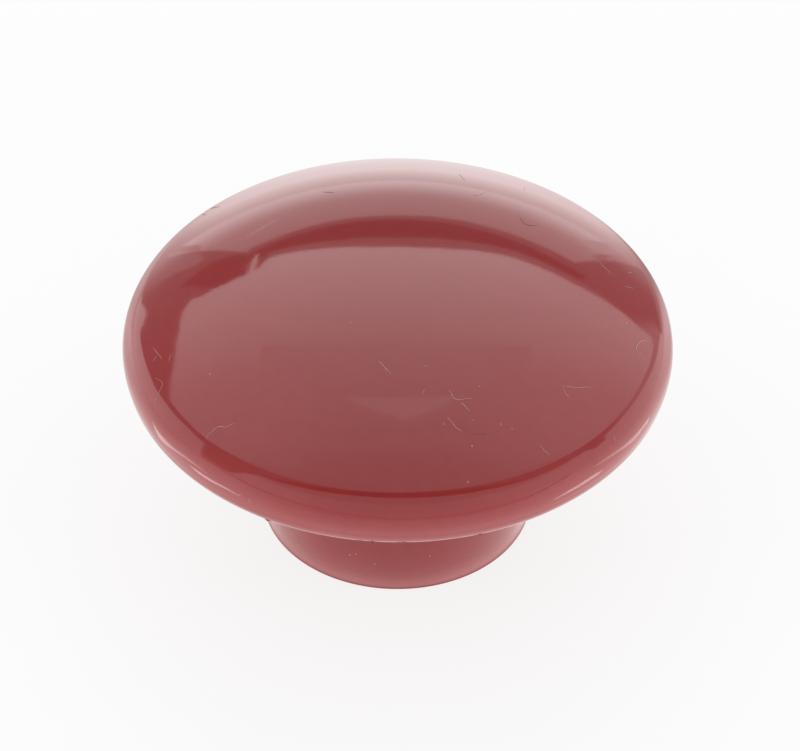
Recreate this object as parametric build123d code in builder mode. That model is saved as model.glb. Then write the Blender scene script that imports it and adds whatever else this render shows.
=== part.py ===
from build123d import *
import os
from math import atan2, cos, degrees, radians, sin, tan

# Shooter knob of a pinball table: one moulded piece, pressed on the end of the shooter rod.
# Millimetres. The origin is the centre of the neck's end face, and +Z points along the
# knob's axis towards its crown.

# Head
head_diameter = 34.925  # 1 3/8 in across the widest ring of the rim
overall_height = 20.5  # from the neck's end to the top of the crown
widest_height = 13.5  # from the neck's end to the widest ring of the rim
rim_radius = 2.58  # round edge of the rim above the parting line, seen in section
parting_angle = 16.0  # degrees below the widest ring where the halves of the mould met
lower_rim_radius = 1.7  # tighter round from the parting line down to the lip
lower_rim_start = 8.0  # degrees that the surface faces down just below the parting line
lip_angle = 42.0  # degrees that it faces down at the lip, where it breaks off sharply

# Underside and neck
underside_slope = 11.5  # degrees that the underside rises from the neck out to the lip
neck_diameter = 17.55  # at the neck's end
neck_draft = 1.5  # degrees, wider towards the head
cove_radius = 1.2  # hollow curve between the neck and the underside
neck_edge_chamfer = 0.2  # broken edge of the neck's end face

# Blind bore for the splined end of the rod
bore_diameter = 7.94  # 5/16 in
bore_depth = 12.7  # 1/2 in
bore_lead_in = 0.5  # chamfer at the mouth

# Sizes that follow from those above
head_radius = head_diameter / 2
neck_radius = neck_diameter / 2
bore_radius = bore_diameter / 2
rim_centre = (head_radius - rim_radius, widest_height)

# The crown is one arc, level at the top of the knob, that runs into the rim's arc without a
# corner. Its radius is the one at which the two circles touch.
crown_rise = overall_height - widest_height
crown_radius = (rim_centre[0] ** 2 + crown_rise**2 - rim_radius**2) / (
    2 * (crown_rise - rim_radius)
)
rim_angle_above = degrees(atan2(crown_radius - crown_rise, rim_centre[0]))

# The lower round starts at the parting line, where the surface turns back a little and shows
# the witness line of the mould, and ends at the lip.
parting = (
    rim_centre[0] + rim_radius * cos(radians(parting_angle)),
    rim_centre[1] - rim_radius * sin(radians(parting_angle)),
)
lower_centre = (
    parting[0] - lower_rim_radius * cos(radians(lower_rim_start)),
    parting[1] + lower_rim_radius * sin(radians(lower_rim_start)),
)
lip = (
    lower_centre[0] + lower_rim_radius * cos(radians(lip_angle)),
    lower_centre[1] - lower_rim_radius * sin(radians(lip_angle)),
)

# The underside's line and the neck's flank cross at the corner that the cove fills.
underside_rise = tan(radians(underside_slope))
flank_lean = tan(radians(neck_draft))
corner_height = (lip[1] - underside_rise * (lip[0] - neck_radius)) / (
    1 - underside_rise * flank_lean
)
cove_corner = (neck_radius + flank_lean * corner_height, corner_height)

# Half section of the knob, turned about its axis, and the rod's bore cut up its neck
with BuildPart() as shooter_knob:
    with BuildSketch(Plane.XZ) as section:
        with BuildLine():
            rim = CenterArc(
                rim_centre, rim_radius, -parting_angle, parting_angle + rim_angle_above
            )
            RadiusArc(rim @ 1, (0, overall_height), -crown_radius)
            CenterArc(lower_centre, lower_rim_radius, -lip_angle, lip_angle - lower_rim_start)
            Polyline(lip, cove_corner, (neck_radius, 0), (0, 0), (0, overall_height))
        make_face()
        fillet(section.vertices().sort_by_distance(cove_corner)[0], radius=cove_radius)
        neck_edge = section.vertices().sort_by_distance((neck_radius, 0))[0]
        chamfer(neck_edge, length=neck_edge_chamfer)
    revolve(axis=Axis.Z)
    with Locations(Plane(origin=(0, 0, 0), z_dir=(0, 0, -1))):
        CounterSinkHole(
            radius=bore_radius,
            counter_sink_radius=bore_radius + bore_lead_in,
            depth=bore_depth,
            counter_sink_angle=90,
        )

os.makedirs("parts", exist_ok=True)
shooter_knob.part.label = "shooter_knob"
export_step(shooter_knob.part, "parts/shooter_knob.step")
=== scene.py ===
from math import atan2, ceil, cos, pi, radians, sin, tan

import bpy
import numpy as np
from mathutils import Matrix, Vector


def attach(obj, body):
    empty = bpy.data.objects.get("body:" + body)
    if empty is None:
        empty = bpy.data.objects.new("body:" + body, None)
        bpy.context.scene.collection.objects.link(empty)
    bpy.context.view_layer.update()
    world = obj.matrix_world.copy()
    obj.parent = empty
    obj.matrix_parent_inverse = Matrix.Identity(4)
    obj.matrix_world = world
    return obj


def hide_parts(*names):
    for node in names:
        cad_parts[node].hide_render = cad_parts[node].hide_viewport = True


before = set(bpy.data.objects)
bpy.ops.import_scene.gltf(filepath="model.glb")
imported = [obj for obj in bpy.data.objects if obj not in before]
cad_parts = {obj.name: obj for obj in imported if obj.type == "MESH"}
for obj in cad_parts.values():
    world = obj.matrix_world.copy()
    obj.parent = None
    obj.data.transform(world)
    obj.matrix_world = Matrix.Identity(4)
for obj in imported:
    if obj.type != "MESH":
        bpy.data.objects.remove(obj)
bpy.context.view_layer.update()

MM = 0.001

# The knob's section in millimetres and degrees, with the names that its source gives them
head_diameter = 34.925
overall_height = 20.5
widest_height = 13.5
rim_radius = 2.58
parting_angle = 16.0
lower_rim_radius = 1.7
lower_rim_start = 8.0
lip_angle = 42.0
underside_slope = 11.5
neck_diameter = 17.55
neck_draft = 1.5
cove_radius = 1.2
bore_diameter = 7.94
bore_depth = 12.7
bore_lead_in = 0.5

# Edges that the source leaves sharp or bevels, rounded here
neck_edge_radius = 0.25
small_edge_radius = 0.04

# The photograph's camera, fitted to the outline of the head
photo_width = 800
photo_height = 751
sensor_width = 36.0
view_elevation = 40.11  # degrees above the floor
view_roll = 0.0060  # radians
view_distance = 244.475  # from the middle of the widest ring
view_axis_pixel = (397.741, 341.373)  # the widest ring's middle in the photograph
focal_pixels = 3847.9

HEAD_MIDDLE = widest_height * MM
STUDIO_RADIUS = 4.0  # metres from the head to the cloth of the light tent
LAMP_DISTANCE = 0.87  # metres from the head to each lamp


def unit(v):
    """The vectors of an array, each divided by its own length."""
    return v / np.linalg.norm(v, axis=-1, keepdims=True)


# Camera


def photo_axes():
    """Right, up and forward of the fitted camera: forward falls by the view's elevation from
    the +Y axis, and right and up are turned about it by the roll."""
    e = radians(view_elevation)
    forward = np.array([0.0, cos(e), -sin(e)])
    level = np.array([1.0, 0.0, 0.0])
    rise = np.cross(level, forward)
    right = cos(view_roll) * level + sin(view_roll) * rise
    return right, np.cross(right, forward), forward


def camera_place():
    """The camera's point in metres: back along the view from the widest ring's middle."""
    forward = photo_axes()[2]
    return np.array([0.0, 0.0, HEAD_MIDDLE]) - forward * view_distance * MM


def rays_through(pixels):
    """Directions through pixels of the photograph, counted from its upper left corner:
    forward plus right and up times the pixel's offset over the focal length."""
    right, up, forward = photo_axes()
    offset = (np.asarray(pixels, float) - view_axis_pixel) / focal_pixels
    return unit(forward + offset[..., :1] * right - offset[..., 1:] * up)


def set_up_camera():
    """Aims the camera through the middle of the frame, so that it needs no shift."""
    forward = rays_through((photo_width / 2, photo_height / 2))
    right = photo_axes()[0]
    right = unit(right - (right @ forward) * forward)
    up = np.cross(right, forward)
    data = bpy.data.cameras.new("photo_camera")
    data.sensor_fit = "HORIZONTAL"
    data.sensor_width = sensor_width
    data.lens = focal_pixels * sensor_width / photo_width
    data.clip_start = 0.01
    camera = bpy.data.objects.new("photo_camera", data)
    matrix = np.eye(4)
    matrix[:3, 0], matrix[:3, 1], matrix[:3, 2] = right, up, -forward
    matrix[:3, 3] = camera_place()
    camera.matrix_world = Matrix(matrix.tolist())
    bpy.context.scene.collection.objects.link(camera)
    bpy.context.scene.camera = camera


# Section of the knob


def arc(centre, radius, start, end, step=radians(2.5)):
    """Points of a circle from one angle to another, evenly spaced."""
    turn = np.linspace(start, end, max(2, ceil(abs(end - start) / step) + 1))
    return np.stack([centre[0] + radius * np.cos(turn), centre[1] + radius * np.sin(turn)], 1)


def eased_line(start, end, count):
    """Points of a straight line that crowd together towards both ends, as 1 - cos does."""
    along = (1 - np.cos(np.linspace(0, pi, count))) / 2
    return np.asarray(start) + along[:, None] * (np.asarray(end) - np.asarray(start))


def knob_section():
    """The half section as (radius, height) in millimetres, from the top of the crown over
    the rim, lip, underside, cove and neck to the end face, and up the bore to its floor. It
    comes with the sharp lip's point."""
    head_radius = head_diameter / 2
    neck_radius = neck_diameter / 2
    bore_radius = bore_diameter / 2
    rim_centre = np.array([head_radius - rim_radius, widest_height])
    below = radians(parting_angle)
    start, end = radians(lower_rim_start), radians(lip_angle)

    # the crown's arc touches the rim's
    rise = overall_height - widest_height
    crown_radius = (rim_centre[0] ** 2 + rise**2 - rim_radius**2) / (2 * (rise - rim_radius))
    crown_centre = np.array([0.0, overall_height - crown_radius])
    above = atan2(crown_radius - rise, rim_centre[0])

    # the lower round turns back a little at the parting line
    parting = rim_centre + rim_radius * np.array([cos(below), -sin(below)])
    lower_centre = parting - lower_rim_radius * np.array([cos(start), -sin(start)])
    lip_out = np.array([cos(end), -sin(end)])
    lip = lower_centre + lower_rim_radius * lip_out

    # the cove touches the underside and the neck's flank
    slope, lean = radians(underside_slope), radians(neck_draft)
    under_out = np.array([sin(slope), -cos(slope)])
    flank_out = np.array([cos(lean), -sin(lean)])
    corner_height = (lip[1] - tan(slope) * (lip[0] - neck_radius)) / (1 - tan(slope) * tan(lean))
    inner_corner = np.array([neck_radius + tan(lean) * corner_height, corner_height])
    cove = inner_corner + np.linalg.solve([under_out, flank_out], [cove_radius] * 2)

    # the rounded edges touch the faces beside them from inside
    edge_x = neck_radius + tan(lean) * neck_edge_radius - neck_edge_radius / cos(lean)
    neck_edge = np.array([edge_x, neck_edge_radius])
    s = small_edge_radius
    lip_centre = lip + np.linalg.solve([under_out, lip_out], [-s, -s])
    under_turn = slope - pi / 2
    mouth_radius = bore_radius + bore_lead_in

    # Points crowd towards the parting corner, so that the shading breaks only there: lengths
    # of arc in millimetres above it, and turns in radians below it.
    to_corner = np.array([0.06, 0.02, 0.006]) / rim_radius - below
    from_corner = -start - np.array([0.004, 0.012, 0.035])
    lip_start = -end - radians(5)
    crown_step, rim_step, lip_step, cove_step, edge_step = np.radians([0.8, 1.6, 8, 4, 9])
    pieces = [
        arc(crown_centre, crown_radius, pi / 2, above, crown_step),
        arc(rim_centre, rim_radius, above, to_corner[0], rim_step),
        arc(rim_centre, rim_radius, to_corner[1], to_corner[2]),
        arc(lower_centre, lower_rim_radius, from_corner[0], from_corner[1]),
        arc(lower_centre, lower_rim_radius, from_corner[2], -end),
        arc(lip_centre, s, lip_start, under_turn, lip_step),
        eased_line(lip_centre + s * under_out, cove - cove_radius * under_out, 10),
        arc(cove, cove_radius, under_turn + pi, pi - lean, cove_step),
        eased_line(cove - cove_radius * flank_out, neck_edge + neck_edge_radius * flank_out, 14),
        arc(neck_edge, neck_edge_radius, -lean, -pi / 2, edge_step),
        eased_line((edge_x, 0.0), (mouth_radius + s, 0.0), 8),
        eased_line((mouth_radius, s / 2), (bore_radius, bore_lead_in), 5),
        eased_line((bore_radius, bore_lead_in + s), (bore_radius, bore_depth - s), 12),
        eased_line((bore_radius - s, bore_depth), (0.0, bore_depth), 8),
    ]
    points = np.concatenate(pieces)
    smallest_step = 1e-4
    apart = np.linalg.norm(np.diff(points, axis=0), axis=1) > smallest_step
    points = points[np.concatenate([[True], apart])]
    points[0, 0] = points[-1, 0] = 0.0
    return points, lip


SECTION, LIP = knob_section()
OUTSIDE = SECTION[: int(np.argmax(SECTION[:, 1] <= 0))]  # from the crown down to the neck's end


def outer_radius(height):
    """The knob's outer radius in millimetres at a height, read off the section."""
    upwards = OUTSIDE[np.argsort(OUTSIDE[:, 1])]
    return np.interp(height, upwards[:, 1], upwards[:, 0])


def on_the_knob(pixels):
    """Where rays through pixels first meet the knob, the outward normals there, and whether
    they meet it. Along each ray the distance from the axis is set against the section's
    radius at that height."""
    rays = rays_through(pixels)
    eye = camera_place() / MM
    margin, samples = 25, 2400
    reach = np.linspace(view_distance - margin, view_distance + margin, samples)
    trail = eye + rays[:, None, :] * reach[None, :, None]

    def outside(p):
        far = np.hypot(p[..., 0], p[..., 1]) - outer_radius(p[..., 2])
        return np.where((p[..., 2] > overall_height) | (p[..., 2] < 0), 1.0, far)

    depth = outside(trail)
    first = np.argmax(depth < 0, axis=1)
    row = np.arange(len(rays))
    before, after = depth[row, first - 1], depth[row, first]
    share = np.clip(before / (before - after), 0, 1)
    spot = trail[row, first - 1] + share[:, None] * (trail[row, first] - trail[row, first - 1])
    nudge = 0.02
    tilt = (outer_radius(spot[:, 2] + nudge) - outer_radius(spot[:, 2] - nudge)) / (2 * nudge)
    around = np.hypot(spot[:, 0], spot[:, 1])
    normal = np.stack([spot[:, 0] / around, spot[:, 1] / around, -tilt], 1)
    return spot, unit(normal), after < 0


# Meshes


def add_object(name, points, faces, smooth=True):
    """Puts points in millimetres and faces into a mesh object that sits at the origin."""
    mesh = bpy.data.meshes.new(name)
    mesh.from_pydata((np.asarray(points) * MM).tolist(), [], faces)
    mesh.polygons.foreach_set("use_smooth", np.full(len(mesh.polygons), smooth))
    mesh.update()
    thing = bpy.data.objects.new(name, mesh)
    bpy.context.scene.collection.objects.link(thing)
    return thing


def grid_faces(rows, columns, closed):
    """Quads between neighbouring rows and columns of a grid of points, row by row."""
    across = columns if closed else columns - 1
    i, j = np.meshgrid(np.arange(rows - 1), np.arange(across), indexing="ij")
    a = i * columns + j
    b = i * columns + (j + 1) % columns
    return np.stack([a, a + columns, b + columns, b], -1).reshape(-1, 4)


def fan_faces(hub, first, second):
    """Triangles from one point to pairs of points."""
    return np.stack([np.full(len(first), hub), first, second], 1).tolist()


def knob_moulding():
    """The knob: its section turned about the axis. The two parameters are the place on the
    section and the turn. Where the mould's halves met, the lip stands out and down a little
    in a few short nubs, each a bell curve of the turn and of the distance from the lip."""
    turns = 460
    front_crowding = 0.5  # turns stand closer together at the front, where the nubs are
    lip_width, nub_drop = 0.07, 0.3
    turn = np.linspace(0, 2 * pi, turns, endpoint=False)
    turn = turn - front_crowding * np.cos(turn)
    inner = SECTION[1:-1]
    near_lip = np.exp(-((np.linalg.norm(inner - LIP, axis=1) / lip_width) ** 2))[:, None]
    spots, _, _ = on_the_knob(NUB_PIXELS[:, :2])
    nub_turn = np.arctan2(spots[:, 1], spots[:, 0])
    apart = (turn[:, None] - nub_turn[None, :] + pi) % (2 * pi) - pi
    nubs = np.exp(-((apart * LIP[0] / NUB_PIXELS[:, 2]) ** 2)) @ NUB_PIXELS[:, 3]
    radius = inner[:, :1] + near_lip * nubs[None, :]
    height = np.repeat(inner[:, 1:], turns, 1) - nub_drop * near_lip * nubs[None, :]
    rings = np.stack([radius * np.cos(turn), radius * np.sin(turn), height], -1).reshape(-1, 3)

    poles = [[0, 0, SECTION[0, 1]], [0, 0, SECTION[-1, 1]]]
    this = np.arange(turns)
    following = (this + 1) % turns
    last = len(rings) - turns
    faces = grid_faces(len(inner), turns, True).tolist()
    faces += fan_faces(len(rings), this, following)
    faces += fan_faces(len(rings) + 1, last + following, last + this)
    return add_object("knob_moulding", np.concatenate([rings, poles]), faces)


def softened(path):
    """A line of points with its corners cut three times, a quarter from each end of a run."""
    for _ in range(3):
        a, b = path[:-1], path[1:]
        cut = np.stack([0.75 * a + 0.25 * b, 0.25 * a + 0.75 * b], 1).reshape(-1, path.shape[1])
        path = np.concatenate([path[:1], cut, path[-1:]])
    return path


def wandering(pixels, chance):
    """A fibre's line with soft bends of its own: two sines of the length along it, with
    chance phases, push it to the side by about a pixel, and less where it is short."""
    spacing, fewest, full_length = 1.2, 8, 16  # pixels, points and pixels
    long_push, long_bend, short_push, short_bend = 0.9, 5.5, 0.5, 2.6  # pixels
    corners = softened(np.asarray(pixels, float))
    run = np.concatenate([[0], np.cumsum(np.linalg.norm(np.diff(corners, axis=0), axis=1))])
    along = np.linspace(0, run[-1], max(fewest, int(run[-1] / spacing)))
    path = np.stack([np.interp(along, run, column) for column in corners.T], 1)
    side = unit(np.gradient(path, axis=0)) @ np.array([[0, 1], [-1, 0]])
    phase = chance.uniform(0, 2 * pi, 2)
    push = long_push * np.sin(along / long_bend + phase[0])
    push = push + short_push * np.sin(along / short_bend + phase[1])
    return path + side * push[:, None] * min(1, run[-1] / full_length)


def fibre(pixels, thickness, chance):
    """A hair-thin tube along pixels of the photograph, laid on the knob: rings about the
    path, thinner towards both ends, with their middles just above the surface."""
    path, normal, hit = on_the_knob(wandering(pixels, chance))
    path, normal = path[hit], normal[hit]
    sides, end_share, lift = 6, 0.35, 0.6
    along = unit(np.gradient(path, axis=0))
    across = unit(np.cross(normal, along))[:, None]
    share = np.linspace(0, 1, len(path))
    radius = thickness / 2 * (end_share + (1 - end_share) * np.sin(pi * share) ** 0.5)
    turn = np.linspace(0, 2 * pi, sides, endpoint=False)[None, :, None]
    ring = np.cos(turn) * normal[:, None] + np.sin(turn) * across
    middle = path + normal * radius[:, None] * lift
    points = (middle[:, None] + radius[:, None, None] * ring).reshape(-1, 3)
    faces = grid_faces(len(path), sides, True).tolist()
    faces.append(list(range(sides)))
    faces.append(list(range(len(points) - sides, len(points)))[::-1])
    return points, faces


def fibres(name, lines, thickness):
    """All the fibres of one colour as one piece."""
    chance = np.random.default_rng(7)
    points, faces, start = [], [], 0
    for line in lines:
        p, f = fibre(line, thickness * chance.uniform(0.8, 1.2), chance)
        points.append(p)
        faces += [[start + k for k in face] for face in f]
        start += len(p)
    return add_object(name, np.concatenate(points), faces)


def specks(name, marks):
    """Dust: low rounded grains that lie on the knob. A grain's rings are circles about the
    surface's normal, with the cosine of their latitude as radius and half its sine as height."""
    spot, normal, _ = on_the_knob(marks[:, :2])
    side = unit(np.cross(normal, [1.0, 0.0, 0.0]))
    across = np.cross(normal, side)
    columns, flatness = 8, 0.5
    latitude = np.radians([62, 25, -12, -50])[:, None, None]
    turn = np.linspace(0, 2 * pi, columns, endpoint=False)[:, None]

    def rings(n, a, b, centre, width):
        flat = np.cos(turn) * a + np.sin(turn) * b
        return centre + width / 2 * (np.cos(latitude) * flat + flatness * np.sin(latitude) * n)

    grains = [rings(*each).reshape(-1, 3) for each in zip(normal, side, across, spot, marks[:, 2])]
    one = grid_faces(len(latitude), columns, True).tolist()
    count = len(latitude) * columns
    one += [list(range(columns)), list(range(count - columns, count))[::-1]]
    faces = [[count * k + i for i in face] for k in range(len(marks)) for face in one]
    return add_object(name, np.concatenate(grains), faces)


# Marks in the photograph's pixels. A nub has its pixel, its half width and its reach.
NUB_PIXELS = np.array([
    (332.0, 537.0, 0.16, 0.09),
    (359.5, 540.0, 0.12, 0.07),
    (372.0, 541.4, 0.14, 0.10),
    (403.0, 542.0, 0.16, 0.09),
    (480.0, 534.0, 0.14, 0.08),
])
PALE_FIBRES = [
    [(207, 439), (208, 434), (214, 428), (221, 426), (228, 428), (235, 424)],
    [(153, 347), (156, 349), (161, 361)],
    [(156, 356), (153, 362)],
    [(168, 361), (171.5, 354)],
    [(156, 378), (163, 384), (159, 391), (156, 401), (156, 409)],
    [(653.5, 345), (642, 341), (636, 345), (636, 351), (641, 358), (645, 359)],
    [(628, 273), (631.5, 272)],
    [(624, 286), (633, 289)],
    [(624, 324), (629, 326)],
    [(593, 258), (605, 267), (611, 274)],
    [(472, 195), (485, 194)],
    [(561, 386), (570, 388), (578, 386), (592, 388)],
    [(563, 387), (570, 398)],
    [(422, 395), (424, 389)],
    [(448, 391), (457, 400), (472, 398)],
    [(461, 402), (471, 411)],
    [(471, 419), (474, 421)],
    [(448, 417), (461, 432)],
    [(614, 436), (616, 441)],
    [(539, 445), (550, 454)],
    [(378, 362), (391, 373)],
    [(423, 366), (428, 366)],
    [(249, 498), (250, 503)],
    [(237, 495), (242, 495)],
]
DARK_FIBRES = [
    [(518, 215), (528, 226), (538, 225)],
    [(524, 191), (525, 187)],
    [(459, 175), (466, 181)],
    [(323, 191), (335, 194)],
    [(210, 209), (220, 207)],
    [(201, 214), (206, 215)],
    [(463, 428), (478, 435), (492, 434)],
]

# A grain of dust has its pixel and its width in millimetres.
PALE_DUST = np.array([
    (468, 482, 0.09), (501, 424, 0.08), (512, 429, 0.07), (472, 446, 0.09), (444, 424, 0.07),
    (351.7, 322.9, 0.08), (210, 374, 0.09), (626.7, 323, 0.1), (564, 238, 0.07), (479, 386, 0.07),
    (350, 555, 0.09), (356, 554, 0.08), (375, 564, 0.08), (430, 556, 0.08),
])
DARK_DUST = np.array([(596, 464, 0.11), (582, 479.4, 0.1)])

# The light tent's edges, as the crown mirrors them: (azimuth, lower edge, upper edge) in
# degrees. Azimuth 0 lies behind the knob and grows to the right.
ROOF_EDGE = [
    (-62.4, 57.1), (-47.0, 51.0), (-46.1, 52.6), (-43.2, 56.8), (-39.1, 60.6), (-33.3, 64.0),
    (-25.7, 66.7), (-15.8, 68.7), (-4.6, 69.7), (7.3, 69.5), (18.2, 68.1), (27.4, 66.0),
    (34.6, 63.0), (39.7, 59.6), (43.5, 55.7), (46.1, 51.2), (59.3, 58.5), (69.4, 54.5),
]
DARK_GAP = [
    (-180, 47, 61.5), (-166, 46.3, 60.8), (-157, 44.5, 59.7), (-147, 41.5, 57.4),
    (-137, 38.5, 54.8), (-127, 34, 52), (-122.5, 31.5, 50.5), (-119, 20, 49.5), (-117, 8, 49),
    (-112, 2, 47.5), (-106, 0, 46), (-102.6, -1, 45), (-101.5, 10.7, 44.6), (-98, 24.5, 43),
    (-95, 31, 41.3), (-92, 29.5, 39.5), (-85, 30.5, 38.2), (-78, 28, 37.7), (-70, 26, 35.5),
    (-64, 22.5, 34.2), (-58.4, 22.7, 32.8), (-54.9, 21.5, 32), (-51.4, 20, 30.6),
    (-48, 18.3, 28.8), (-44.7, 16.2, 27.2), (-43, 15.6, 25.8), (-41.4, 15, 25),
    (-39.8, 14.2, 23.8), (-38.3, 12.5, 23.5), (-36.7, 10, 23.1), (-36, 8, 25.1),
    (-34.5, 5.5, 25.5), (-32.6, 4.5, 26.6), (-31.8, 2, 27.6), (-30, -1, 26.5), (-29.5, -1, 28.0),
    (-28.8, -1, 29.0), (-27.8, -1, 28.5), (-26.6, -1, 28.3), (-25.8, -1, 29.1),
    (-24.3, -1, 28.2), (-23, -1, 27.3), (-22.0, -1, 27.5), (-19.5, -1, 28.7),
    (-16.9, -1, 30.3), (-14.4, -1, 31.6), (-11.6, -1, 32.8), (-8.8, -1, 33.9), (-5.8, -1, 34.9),
    (-2.7, -1, 35.3), (0.4, -1, 35.4), (3.5, -1, 35.3), (6.6, -1, 34.9), (9.7, -1, 34.2),
    (12.5, -1, 33.0), (15.3, -1, 31.9), (17.8, -1, 30.5), (20.6, -1, 29.4), (23.3, -1, 28.4),
    (26.2, -1, 27.6), (29.0, -1, 26.6), (31.8, -1, 25.5), (34.4, 0, 24.0), (37.0, 2, 22.2),
    (39.6, 3, 20.6), (42.6, 4, 19.3), (44.5, 5, 17.8), (47.3, 8, 19.1), (52.6, 11, 21.5),
    (57, 13.5, 25), (62.6, 18, 27.4), (70, 21, 29), (76, 23.5, 31.8), (84, 25, 34),
    (89.5, 25, 35.6), (91.5, 18, 36.5), (98, 17, 39.5), (100.5, 27, 40.5), (107, 28, 43),
    (115, 29, 46.5), (122.5, 31, 50), (132, 36, 53.5), (142, 40, 57), (154, 43, 59.6),
    (166, 45.5, 61.5), (180, 47, 61.5),
]
GREY_STRIP = [
    (-22.4, 25.3, 27.4), (-20.4, 25.9, 28.4), (-15.3, 28.2, 31.4), (-10.2, 30.2, 33.5),
    (-5.1, 31.2, 35.1), (0, 31.6, 35.4), (5.1, 31.2, 35.2), (10.2, 29.9, 34.0),
    (15.3, 28.1, 31.9), (20.4, 26.3, 29.5), (25.5, 25.2, 27.8), (31.5, 23.3, 25.6),
    (37.6, 21.4, 21.9),
]
BACK_BLACK = [
    (-24.4, 22.4, 25.8), (-20.4, 22.1, 25.9), (-10.2, 22.7, 30.2), (0, 23.3, 31.6),
    (10.2, 22.9, 29.9), (20.4, 22.1, 26.3), (30.5, 20.3, 23.6),
]
LEFT_BLACK = [
    (-33.5, 15.7, 25.8), (-31.5, 16.2, 27.3), (-28.5, 15.8, 28.4), (-26.5, 16.8, 25.2),
    (-24.4, 19.8, 24.7),
]
PANEL_FRINGE = [
    (-22.5, 19.4, 22.0), (-19.5, 19.8, 22.2), (-10, 20.3, 22.8), (0, 20.8, 23.3),
    (10, 19.9, 23.0), (18, 19.3, 22.4), (27, 18.1, 21.4),
]
LEFT_SHOULDER = [
    (-36.5, -2, 1), (-34.5, -2, 4.2), (-33, -2, 6.6), (-30, -2, 9.7), (-28.3, -2, 12.6),
    (-26.5, -2, 12.8), (-25.7, -2, 9.9), (-25.2, -2, -1),
]
RIGHT_SHOULDER = [
    (26.4, -3, 11), (33, -3, 10), (36, -3, 11), (41, -3, 13), (44, -3, 8), (45, -3, -2),
]
PANEL_LEFT = [(-24.8, -2, 8), (-24, -2, 7), (-23.2, -2, 5)]
PANEL_EDGE = [(24.9, -2, 8), (25.6, -2, 10.5), (26.6, -2, 11)]
PANEL_RIGHT = [(21.8, -2, 5.5), (24.9, -2, 6)]
BACK_PANEL = [
    (-25.2, -2, 3), (-24.8, -2, 9), (-24.1, -2, 17.5), (-23.3, -2, 21), (-22.4, -2, 20.0),
    (-19.9, -2, 20.3), (-10.2, -2, 20.7), (0, -2, 21.2), (10.2, -2, 20.3), (20.4, -2, 19.4),
    (24.9, -2, 18.4), (26.6, 10.9, 18.0),
]
LIGHT_SLIVER = [(-27.9, 29.1, 29.6), (-26.5, 27.2, 28.6), (-24.9, 25.2, 26.9), (-23, 23.4, 24)]
LOW_FOLD = [(-20.8, 14.4, 14.7), (-18.0, 13.1, 13.6), (-15.1, 11.4, 11.7)]
HIGH_FOLD = [(-31.2, 28.6, 28.9), (-32.6, 33.6, 35.2), (-34.3, 39.4, 39.9)]
SHADOW_LINE = [
    (-118, 1.0, 3.2), (-137, -1.8, 0.6), (-164, -6.4, -3.8), (-181, -9.6, -7.0),
    (-202, -10.2, -7.6), (-226, -8.2, -5.8), (-241, -1.4, 0.8),
]

# Cards inside the tent: name, outline, distance as a share of the tent's radius, and a level,
# or two levels and the two heights between which they blend, as sines of the elevation
CARDS = [
    ("grey_strip", GREY_STRIP, 0.96, 0.68),
    ("back_black", BACK_BLACK, 0.965, 0.2),
    ("left_black", LEFT_BLACK, 0.965, 0.22),
    ("panel_fringe", PANEL_FRINGE, 0.955, 0.5),
    ("left_shoulder", LEFT_SHOULDER, 0.955, 1.3, 0.78, (-0.02, 0.12)),
    ("right_shoulder", RIGHT_SHOULDER, 0.955, 0.78, 0.44, (0.02, 0.16)),
    ("panel_left", PANEL_LEFT, 0.945, 1.4, 1.1, (0.0, 0.12)),
    ("panel_edge", PANEL_EDGE, 0.945, 1.42, 0.82, (-0.02, 0.13)),
    ("panel_right", PANEL_RIGHT, 0.945, 1.46),
    ("back_panel", BACK_PANEL, 0.95, 2.12, 1.24, (0.0, 0.2)),
    ("light_sliver", LIGHT_SLIVER, 0.94, 2.35),
    ("fold_0", LOW_FOLD, 0.94, 2.1),
    ("fold_1", HIGH_FOLD, 0.94, 2.1),
    ("shadow_line", SHADOW_LINE, 0.02, 0.72),
]

# The tent's pale top corner, as (azimuth, elevation) of its outline's points
PALE_CORNER = [
    (-63.7, 75.6), (-46.3, 81.6), (6.1, 84.5), (54.3, 79.5), (64.5, 71.7), (77, 82.5),
    (112.2, 87.9), (-68.1, 83.9),
]

# Levels of the tent's cloth as (y of the direction, level)
LOW_LEVELS = [
    (-1, 1.0), (-0.9, 1.1), (-0.7, 1.33), (-0.5, 1.45), (0, 1.55), (0.3, 1.78), (0.6, 2.0),
    (1, 1.9),
]
WALL_LEVELS = [
    (-0.65, 0.86), (-0.5, 0.9), (-0.32, 0.95), (-0.2, 1.07), (-0.1, 1.32), (0.1, 1.61),
    (0.32, 1.95), (0.49, 2.4), (0.65, 2.64), (0.85, 2.7),
]
ROOF_LEVELS = [(-0.3, 0.89), (-0.14, 0.99), (-0.03, 1.17), (0.05, 1.41), (0.2, 1.74), (0.35, 1.93)]

# Levels of the table in front of, beside and behind the knob, as (millimetres from the
# knob's axis, level)
TABLE_AHEAD = [
    (9.05, 3.2), (9.3, 2.8), (9.8, 1.8), (10.4, 1.25), (12, 0.9), (14, 0.78), (20, 1.2),
    (26, 1.5), (50, 1.36), (62, 1.1), (100, 1.05),
]
TABLE_BESIDE = [
    (9.05, 2.3), (9.8, 1.7), (12, 1.25), (20, 1.25), (25, 1.4), (29, 1.68), (50, 1.85),
    (90, 1.75), (300, 1.6),
]
TABLE_BEHIND = [(38, 1.0), (44, 1.1), (50, 1.3), (60, 1.5), (74, 1.7), (105, 2.0), (500, 1.75)]

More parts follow.
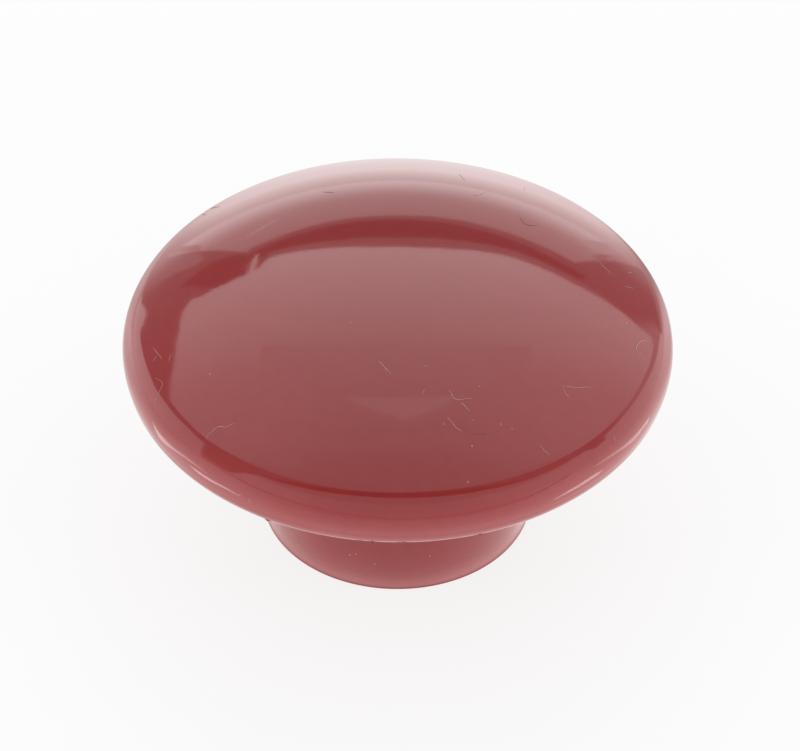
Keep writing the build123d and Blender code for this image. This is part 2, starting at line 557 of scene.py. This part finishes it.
# Glowing strips on the table that stand in for bright pools of light, shown only in
# reflections: a level and (turn in degrees, inner radius, outer radius in mm)
TABLE_LIGHT_POOLS = [
    (3.4, [
        (-21.1, 54, 57), (-17.8, 47, 56), (-13.7, 40.7, 52), (-9.9, 35.2, 44.3),
        (-6.2, 31.9, 40.4), (-2.3, 31.7, 38.3), (0.3, 33.6, 37.6), (3.1, 31.9, 37),
        (5.6, 36, 36.8),
    ]),
    (4.1, [
        (-41.2, 26.8, 27.1), (-38.2, 27.3, 29), (-34.8, 27.5, 30.7), (-30.9, 27.1, 31.1),
        (-27.2, 27.6, 32.6), (-23.8, 27.7, 31.5), (-20.9, 29.2, 29.6),
    ]),
    (3.6, [
        (-181.7, 43.5, 44.5), (-178.1, 33.4, 38.5), (-175.3, 29.3, 37.4), (-172, 29.6, 37.6),
        (-168.5, 32.2, 38.5), (-165.1, 35.8, 42.7), (-161.2, 38.5, 44.5), (-157.3, 40, 43.5),
        (-153.6, 40.5, 41),
    ]),
    (4.4, [
        (-159.6, 31.2, 31.7), (-156.6, 28.8, 32), (-153.2, 28.4, 32.3), (-149.5, 28.6, 32.5),
        (-145.6, 30.1, 33.3), (-142.1, 30.1, 32.1), (-138.7, 28.8, 29.2),
    ]),
]

# Lamps: name, azimuth, elevation, width and height in metres, and power in watts
LAMPS = [
    ("back_lamp", 0, 38, 0.7, 0.6, 1.5),
    ("left_lamp", -92, 7, 0.5, 0.15, 2.2),
    ("right_lamp", 92, 7, 0.5, 0.15, 2.2),
]


# Shader nodes


class Wire:
    """One shader socket that takes part in sums written in Python."""

    def __init__(self, bench, socket):
        self.bench, self.socket = bench, socket

    def sum(self, operation, *terms):
        """A Math node of an operation on wires and numbers."""
        return self.bench.add("ShaderNodeMath", {"operation": operation}, dict(enumerate(terms)))

    def __add__(self, other):
        return self.sum("ADD", self, other)

    __radd__ = __add__

    def __sub__(self, other):
        return self.sum("SUBTRACT", self, other)

    def __rsub__(self, other):
        return self.sum("SUBTRACT", other, self)

    def __mul__(self, other):
        return self.sum("MULTIPLY", self, other)

    __rmul__ = __mul__

    def __truediv__(self, other):
        return self.sum("DIVIDE", self, other)

    def __rtruediv__(self, other):
        return self.sum("DIVIDE", other, self)

    def above(self, start, end):
        """0 up to start, 1 from end, and a smooth step between them."""
        sockets = {"Value": self, "From Min": start, "From Max": end}
        return self.bench.add("ShaderNodeMapRange", {"interpolation_type": "SMOOTHSTEP"}, sockets)


class Bench:
    """A node tree, with one method that adds any node to it, and short names for a few."""

    def __init__(self, tree):
        self.tree = tree
        tree.nodes.clear()

    def add(self, kind, settings=None, sockets=None, out=0):
        """A node of a type, with its settings first, a ramp's stops as (place, level) among
        them, and then the values or links of its sockets. It gives one of its outputs."""
        node = self.tree.nodes.new(kind)
        for name, value in (settings or {}).items():
            if name == "stops":
                ramp = node.color_ramp.elements
                while len(ramp) < len(value):
                    ramp.new(0.5)
                for stop, (place, level) in zip(ramp, value):
                    stop.position = place
                    stop.color = (level, level, level, 1)
            else:
                setattr(node, name, value)
        for name, value in (sockets or {}).items():
            if isinstance(value, Wire):
                self.tree.links.new(value.socket, node.inputs[name])
            else:
                node.inputs[name].default_value = value
        return Wire(self, node.outputs[out] if len(node.outputs) else None)

    def place(self):
        """Object coordinates, in metres."""
        return self.add("ShaderNodeTexCoord", None, None, 3)

    def direction(self, centre=None):
        """Unit vector to the surface, from a centre or else from the origin."""
        offset = self.place()
        if centre is not None:
            sockets = {0: offset, 1: centre}
            offset = self.add("ShaderNodeVectorMath", {"operation": "SUBTRACT"}, sockets)
        return self.add("ShaderNodeVectorMath", {"operation": "NORMALIZE"}, {0: offset})

    def parts(self, vector):
        """X, Y and Z of a vector."""
        node = self.add("ShaderNodeSeparateXYZ", None, {0: vector}).socket.node
        return [Wire(self, socket) for socket in node.outputs]

    def rays(self):
        """The kinds of ray by name, and the sum of the kinds that see the background."""
        node = self.add("ShaderNodeLightPath").socket.node
        kinds = {socket.name: Wire(self, socket) for socket in node.outputs}
        direct = kinds["Is Camera Ray"] + kinds["Is Glossy Ray"] + kinds["Is Transmission Ray"]
        return kinds, direct

    def noise(self, place, scale, detail=2.0):
        """Soft noise of 0 to 1, with its scale in cells per metre."""
        sockets = {"Vector": place, "Scale": scale, "Detail": detail}
        return self.add("ShaderNodeTexNoise", None, sockets)

    def mix(self, factor, first, second, blend="MIX"):
        """Two colours, each a wire or a constant, mixed by a factor."""
        colours = [c if isinstance(c, Wire) else (*c, 1) for c in (first, second)]
        settings = {"data_type": "RGBA", "blend_type": blend}
        sockets = {0: factor, 6: colours[0], 7: colours[1]}
        return self.add("ShaderNodeMix", settings, sockets, 2)

    def bump(self, height, distance, under=None):
        """A pattern of 0 to 1 as a bump of a depth in metres, on top of another bump."""
        sockets = {"Strength": 1.0, "Distance": distance, "Height": height}
        if under is not None:
            sockets["Normal"] = under
        return self.add("ShaderNodeBump", None, sockets)

    def run(self, factor, stops, most):
        """Levels up to the highest one, from stops along a factor of 0 to 1."""
        shares = [(place, level / most) for place, level in stops]
        return most * self.add("ShaderNodeValToRGB", {"stops": shares}, {0: factor})

    def emission(self, level):
        """White light times a level. A plain level is set on the shader's own socket."""
        sockets = {"Color": (1, 1, 1, 1), "Strength": level}
        if isinstance(level, Wire):
            scaled = {0: (1, 1, 1), "Scale": level}
            white = self.add("ShaderNodeVectorMath", {"operation": "SCALE"}, scaled)
            sockets = {"Color": white, "Strength": 1.0}
        return self.add("ShaderNodeEmission", None, sockets)

    def either(self, factor, first, second):
        """Two shaders, mixed by a factor."""
        return self.add("ShaderNodeMixShader", None, {0: factor, 1: first, 2: second})

    def surface(self, shader):
        """Gives a shader to the material's output."""
        self.add("ShaderNodeOutputMaterial", None, {"Surface": shader})

    def glow(self, level):
        """A surface that only shines."""
        self.surface(self.emission(level))


def material(name):
    """A new material, and a bench for its node tree."""
    made = bpy.data.materials.new(name)
    made.use_nodes = True
    return made, Bench(made.node_tree)


def red_plastic():
    """Glossy moulded plastic: an even red with a faint mottle, a fine orange peel, and a
    duller neck, where the mould wasn't polished. The neck's red is also darkened a little as
    painted shade, standing in for the shade under the head."""
    dark_red, light_red = (0.238, 0.018, 0.019), (0.276, 0.029, 0.030)
    # painted shade: the neck's red is darkened, standing in for the shade under the head
    painted_neck_shade = (0.88, 0.88, 0.88)
    fade_top, fade_end = 0.1, 0.6  # millimetres under the lip, where the neck's duller finish and painted shade fade in
    peel_depth, wave_depth, tooth_depth = 1.1e-6, 6e-6, 6e-6  # metres
    polished, polish_change, neck_dullness = 0.05, 0.04, 0.22

    made, bench = material("red_plastic")
    place = bench.place()
    height = bench.parts(place)[2]
    on_neck = 1 - height.above((LIP[1] - fade_end) * MM, (LIP[1] - fade_top) * MM)

    mottle = 0.7 * bench.noise(place, 1400, 3) + 0.3 * bench.noise(place, 160, 2)
    red = bench.mix(mottle, dark_red, light_red)
    # painted shade under the head: the neck's red is multiplied darker
    colour = bench.mix(on_neck, red, painted_neck_shade, "MULTIPLY")
    peel = bench.bump(bench.noise(place, 3800, 2), peel_depth)
    wave = bench.bump(bench.noise(place, 210, 1), wave_depth, peel)
    tooth = bench.bump(bench.noise(place, 2600, 2) * on_neck, tooth_depth, wave)
    roughness = polished + polish_change * bench.noise(place, 900, 2) + neck_dullness * on_neck
    bench.surface(bench.add(
        "ShaderNodeBsdfPrincipled", None,
        {"Base Color": colour, "Roughness": roughness, "IOR": 1.5, "Normal": tooth},
    ))
    return made


def lint(name, dark, pale):
    """Loose textile fibre, paler and darker along its length."""
    fuzz_depth = 4e-6  # metres
    made, bench = material(name)
    place = bench.place()
    colour = bench.mix(bench.noise(place, 2500), dark, pale)
    fuzz = bench.bump(bench.noise(place, 20000), fuzz_depth)
    roughness = 0.6 + 0.2 * bench.noise(place, 6000)
    bench.surface(bench.add(
        "ShaderNodeBsdfPrincipled", None,
        {"Base Color": colour, "Roughness": roughness, "Normal": fuzz},
    ))
    return made


# Studio


def tent_cloth(name, levels):
    """Lit cloth of the tent. Its level follows the direction from the head: a run from the
    front, where y is -1, to the back, another such run low down, and less light towards the
    upper corners at the back."""
    most, corner_loss = 3.0, 2.2
    made, bench = material(name)
    x, y, z = bench.parts(bench.direction((0, 0, HEAD_MIDDLE)))

    def from_the_front(by_y):
        return bench.run((y + 1) / 2, [((v + 1) / 2, level) for v, level in by_y], most)

    back = bench.add("ShaderNodeMath", {"operation": "MAXIMUM"}, {0: y, 1: 0.0})
    high = from_the_front(levels) - corner_loss * x * x * back
    raised = z.above(0.35, 0.55)
    bench.glow(from_the_front(LOW_LEVELS) * (1 - raised) + high * raised)
    return made


def plain_glow(name, low, high=None, span=(0.0, 1.0)):
    """A studio card of one level, or of two levels that blend from one height's sine to
    another."""
    made, bench = material(name)
    level = low
    if high is not None:
        level = low + (high - low) * bench.parts(bench.direction())[2].above(*span)
    bench.glow(level)
    return made


def open_front(name):
    """The tent's open front and the dim rooms at its sides: paler near the table and to the
    right, and darkest straight ahead of the knob, where the camera stands."""
    at_table, upper_loss, ahead_loss, right_gain = 0.83, 0.38, 0.36, 0.6
    made, bench = material(name)
    x, y, z = bench.parts(bench.direction())
    upper = z.above(0.04, 0.21)
    ahead = (0 - y).above(0.4, 0.56)
    right_room = x.above(0.61, 0.66) * y.above(0.0, 0.4) * z.above(0.08, 0.2)
    bench.glow(at_table - upper_loss * upper - ahead_loss * ahead + right_gain * right_room)
    return made


def directions(azimuth, elevation):
    """Unit vectors of azimuths and elevations in degrees."""
    a, e = np.radians(azimuth), np.radians(elevation)
    return np.stack([np.cos(e) * np.sin(a), np.cos(e) * np.cos(a), np.sin(e)], -1)


def studio_card(name, points, faces, surface):
    """A piece of the studio that shows only in reflections."""
    card = add_object(name, points.reshape(-1, 3), faces, False)
    card.data.materials.append(surface)
    for kind in ("camera", "diffuse", "transmission", "volume_scatter", "shadow"):
        setattr(card, "visible_" + kind, False)


def studio_strip(name, outline, nearness, surface):
    """A card of the tent: a grid on a sphere about the head, between a lower and an upper
    edge that run straight from one azimuth of the outline to the next."""
    widest_column, tallest_row = 2.0, 2.5
    outline = np.asarray(outline, float)
    run = np.concatenate([[0], np.cumsum(np.abs(np.diff(outline[:, 0])))])
    every = np.union1d(run, np.arange(0, run[-1], widest_column))
    azimuth, lower, upper = (np.interp(every, run, column) for column in outline.T)
    rows = np.linspace(0, 1, ceil((upper - lower).max() / tallest_row) + 1)[:, None]
    elevation = lower + rows * (upper - lower)
    azimuth = np.repeat(azimuth[None], len(rows), 0)
    points = directions(azimuth, elevation) * STUDIO_RADIUS * nearness / MM
    faces = grid_faces(*elevation.shape, False).tolist()
    studio_card(name, points + [0, 0, widest_height], faces, surface)


def studio_patch(name, outline, nearness, surface):
    """A flat card with a free outline: a fan of triangles about the middle of its points."""
    rim = directions(*np.array(outline, float).T) * STUDIO_RADIUS * nearness / MM
    points = np.concatenate([rim, [rim.mean(0)]]) + [0, 0, widest_height]
    this = np.arange(len(rim))
    studio_card(name, points, fan_faces(len(rim), this, (this + 1) % len(rim)), surface)


def light_tent():
    """The tent's cloth: a sphere about the head, and dark and pale cards that stand in it."""
    lowest, zenith = -30, 89.9
    dome = [(azimuth, lowest, zenith) for azimuth in range(-180, 181, 4)]
    roof = [(azimuth, lower, zenith) for azimuth, lower in ROOF_EDGE]
    studio_strip("tent_wall", dome, 1.0, tent_cloth("tent_wall", WALL_LEVELS))
    studio_strip("tent_roof", roof, 0.99, tent_cloth("tent_roof", ROOF_LEVELS))
    studio_patch("pale_corner", PALE_CORNER, 0.97, plain_glow("pale_corner", 1.9))
    studio_strip("dark_gap", DARK_GAP, 0.98, open_front("dark_gap"))
    for name, outline, nearness, *glow in CARDS:
        studio_strip(name, outline, nearness, plain_glow(name, *glow))


def table_shine():
    """The table's material. Its level follows the distance from the knob's axis: one run of
    levels in front of the knob, one beside it and one behind it. It is a little dimmer on
    the left, close to the knob and straight beside it, and on both sides behind."""
    near, most = 0.008, 3.4  # metres from the axis where the runs start, and a level
    front_loss, right_loss, left_loss = 0.14, 0.6, 0.24
    made, bench = material("sheen_sheet")
    x, y, _ = bench.parts(bench.place())
    far = bench.add("ShaderNodeMath", {"operation": "SQRT"}, {0: x * x + y * y})
    factor = 1 - near / far

    def by_distance(levels):
        return bench.run(factor, [(1 - near / (mm * MM), level) for mm, level in levels], most)

    back, right = y / far, x / far
    left = 0 - right
    beside = back.above(-0.97, -0.45)
    rear = back.above(0.1, 0.6)
    away = far.above(0.02, 0.028)
    on_left = left.above(0.3, 0.6) * (1 - away * (1 - back.above(-0.2, 0.05)))
    front = by_distance(TABLE_AHEAD) * (1 - beside) + by_distance(TABLE_BESIDE) * beside
    front = front * (1 - front_loss * on_left)

    right_dim = right_loss * (right.above(0.36, 0.56) - right.above(0.58, 0.77))
    left_dim = left_loss * (left.above(0.3, 0.45) - left.above(0.68, 0.8))
    behind = by_distance(TABLE_BEHIND) * (1 - right_dim - left_dim)
    bench.glow(front * (1 - rear) + behind * rear)
    return made


def sheen_sheet():
    """The bright table about the knob, for reflections only: rings about the axis, each
    wider than the last by the same factor."""
    height, inner, outer, rings, turns = 0.05, 9.0, 3500.0, 16, 96
    turn = np.linspace(0, 2 * pi, turns, endpoint=False)
    radius = np.geomspace(inner, outer, rings)[:, None]
    heights = np.full((rings, turns), height)
    points = np.stack([radius * np.cos(turn), radius * np.sin(turn), heights], -1)
    faces = grid_faces(rings, turns, True)[:, ::-1].tolist()
    studio_card("sheen_sheet", points, faces, table_shine())


def table_light_pools():
    """Glowing strips on the table that stand in for bright pools of light, for reflections
    only. Each is a band along a run of turns about the knob's axis, between an inner and an
    outer radius."""
    height, step = 0.3, 1.0  # millimetres, and degrees of turn
    for k, (level, band) in enumerate(TABLE_LIGHT_POOLS):
        name = f"table_light_pool_{k}"
        knot, near, far = np.array(band, float).T
        turn = np.arange(knot[0], knot[-1], step)
        radius = np.stack([np.interp(turn, knot, near), np.interp(turn, knot, far)])
        angle = np.radians(turn)
        heights = np.full_like(radius, height)
        points = np.stack([radius * np.cos(angle), radius * np.sin(angle), heights], -1)
        faces = grid_faces(2, len(turn), False).tolist()
        # a glowing strip that stands in for a pool of light on the table
        studio_card(name, points, faces, plain_glow(name, level))


def floor():
    """White paper that the knob stands on. Most of its white is its own for camera, glossy
    and transmission rays, and the rest is lit, so that the knob's shadow stays on it. To
    diffuse rays it is mostly a plain bright sheet."""
    half = 700.0  # millimetres
    paper_white, own_share = (0.93, 0.93, 0.93, 1), 0.82
    bounce_level, bounce_share = 1.75, 0.9
    points = [(-half, -half, 0), (half, -half, 0), (half, half, 0), (-half, half, 0)]
    sheet = add_object("floor", points, [(0, 1, 2, 3)], False)
    made, bench = material("floor_paper")
    rays, direct = bench.rays()
    paper = bench.add("ShaderNodeBsdfDiffuse", None, {"Color": paper_white})
    seen = bench.either(own_share * direct, paper, bench.emission(1.0))
    bounce = bench.emission(bounce_level)
    bench.surface(bench.either(bounce_share * rays["Is Diffuse Ray"], seen, bounce))
    sheet.data.materials.append(made)


def world_light():
    """Even light from all round at a plain level, and white where the world is seen."""
    plain_level = (0.8, 0.8, 0.8)
    world = bpy.data.worlds.new("studio")
    bpy.context.scene.world = world
    world.use_nodes = True
    bench = Bench(world.node_tree)
    _, direct = bench.rays()
    level = bench.mix(direct, plain_level, (1, 1, 1))
    light = bench.add("ShaderNodeBackground", None, {"Color": level, "Strength": 1.0})
    bench.add("ShaderNodeOutputWorld", None, {"Surface": light})


def soft_lamp(name, azimuth, elevation, width, height, energy):
    """A wide soft lamp that faces the head from a direction in degrees."""
    data = bpy.data.lights.new(name, "AREA")
    data.shape = "RECTANGLE"
    data.size, data.size_y = width, height
    data.energy = energy
    away = directions(azimuth, elevation)
    lamp = bpy.data.objects.new(name, data)
    lamp.location = (away * LAMP_DISTANCE + [0, 0, HEAD_MIDDLE]).tolist()
    lamp.rotation_euler = Vector((-away).tolist()).to_track_quat("-Z", "Y").to_euler()
    lamp.visible_glossy = False
    bpy.context.scene.collection.objects.link(lamp)


set_up_camera()
bpy.context.scene.view_settings.view_transform = "Standard"

knob = knob_moulding()
knob.data.materials.append(red_plastic())
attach(knob, "root")
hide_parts("shooter_knob")

fibre_thickness = 0.025  # millimetres
pale_fluff = lint("pale_fluff", (0.36, 0.20, 0.19), (0.55, 0.40, 0.38))
dark_fluff = lint("dark_fluff", (0.14, 0.04, 0.04), (0.24, 0.09, 0.08))
for piece, fluff in (
    (fibres("pale_lint", PALE_FIBRES, fibre_thickness), pale_fluff),
    (fibres("dark_lint", DARK_FIBRES, fibre_thickness), dark_fluff),
    (specks("pale_dust", PALE_DUST), pale_fluff),
    (specks("dark_dust", DARK_DUST), dark_fluff),
):
    piece.data.materials.append(fluff)
    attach(piece, "root")

floor()
world_light()
for lamp in LAMPS:
    soft_lamp(*lamp)
light_tent()
sheen_sheet()
table_light_pools()
